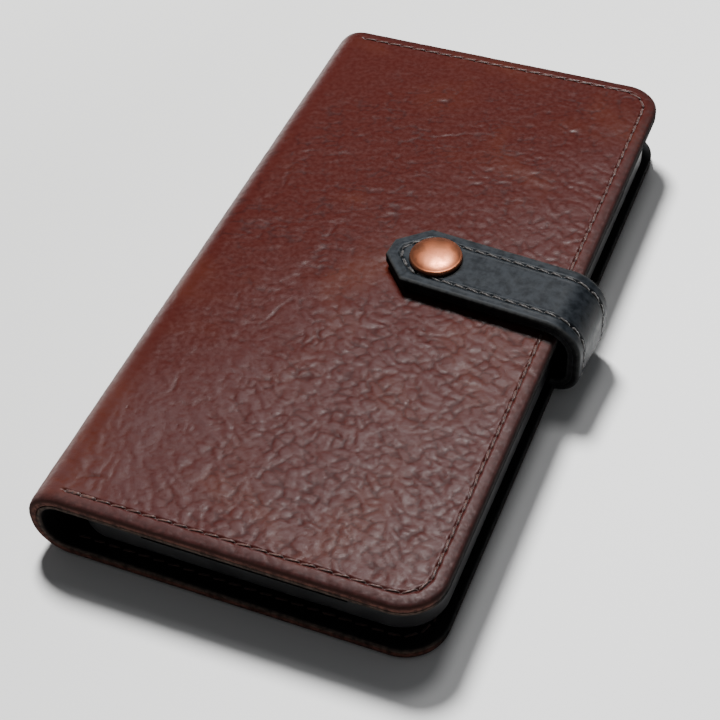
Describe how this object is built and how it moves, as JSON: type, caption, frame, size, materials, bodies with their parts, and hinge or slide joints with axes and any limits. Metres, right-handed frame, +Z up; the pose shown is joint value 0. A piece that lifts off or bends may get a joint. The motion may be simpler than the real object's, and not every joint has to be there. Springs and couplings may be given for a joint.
{
  "type": "phone case",
  "caption": "Book-style leather phone case with a hinged front cover, moulded phone tray, card pockets and a snap strap.",
  "frame": {"origin": "middle of the back cover's outer face, the face that the closed case lies on", "axes": "+X from the spine to the open edge, +Y from the phone's lower end to its camera end, +Z up through the closed case"},
  "size_m": [0.0972, 0.17, 0.025],
  "materials": {
    "cover_leather": "satin natural grain, reddish brown",
    "lining_leather": "smooth matt black",
    "strap_leather": "smooth satin black",
    "tray_plastic": "matt moulded",
    "tape": "foam bonding tape",
    "brown_thread": "waxed thread",
    "grey_thread": "waxed thread",
    "antique_copper": "antique copper plate",
    "snap_brass": "antique plate"
  },
  "bodies": {
    "back": {"back_cover_leather": "cover_leather", "back_lining": "lining_leather", "tray_tape": "tape", "phone_tray": "tray_plastic", "back_cover_stitches": "brown_thread", "strap_base": "strap_leather"},
    "spine": {"spine_leather": "cover_leather", "spine_lining": "lining_leather"},
    "front_cover": {"front_cover_leather": "cover_leather", "front_lining": "lining_leather", "cash_pocket": "lining_leather", "card_pocket_rear": "lining_leather", "card_pocket_front": "lining_leather", "front_cover_stitches": "brown_thread", "card_pocket_stitches": "brown_thread", "snap_stud": "snap_brass", "snap_rivet": "snap_brass"},
    "strap_side": {"strap_side_leather": "strap_leather", "strap_side_lining": "strap_leather", "strap_side_stitches": "grey_thread"},
    "strap_tab": {"strap_tab_leather": "strap_leather", "strap_tab_lining": "strap_leather", "strap_tab_stitches": "grey_thread", "snap_cap": "antique_copper", "snap_socket": "snap_brass"}
  },
  "joints": [
    {"name": "spine_fold", "type": "hinge", "parent": "back", "child": "spine", "pos_m": [-0.04095, 0, 0.00405], "axis": [0, -1, 0], "range_deg": [0, 90]},
    {"name": "cover_fold", "type": "hinge", "parent": "spine", "child": "front_cover", "pos_m": [-0.04095, 0, 0.01455], "axis": [0, -1, 0], "range_deg": [0, 90]},
    {"name": "strap_swing", "type": "hinge", "parent": "back", "child": "strap_side", "pos_m": [0.04844, 0.00103, 0.00515], "axis": [0.0698, 0.9976, 0], "range_deg": [0, 90]},
    {"name": "strap_lift", "type": "hinge", "parent": "strap_side", "child": "strap_tab", "pos_m": [0.04768, 0.00108, 0.01889], "axis": [0.0698, 0.9976, 0], "range_deg": [0, 90]}
  ],
  "couplings": [
    {"joint": "cover_fold", "follows": "spine_fold", "ratio": 1}
  ]
}
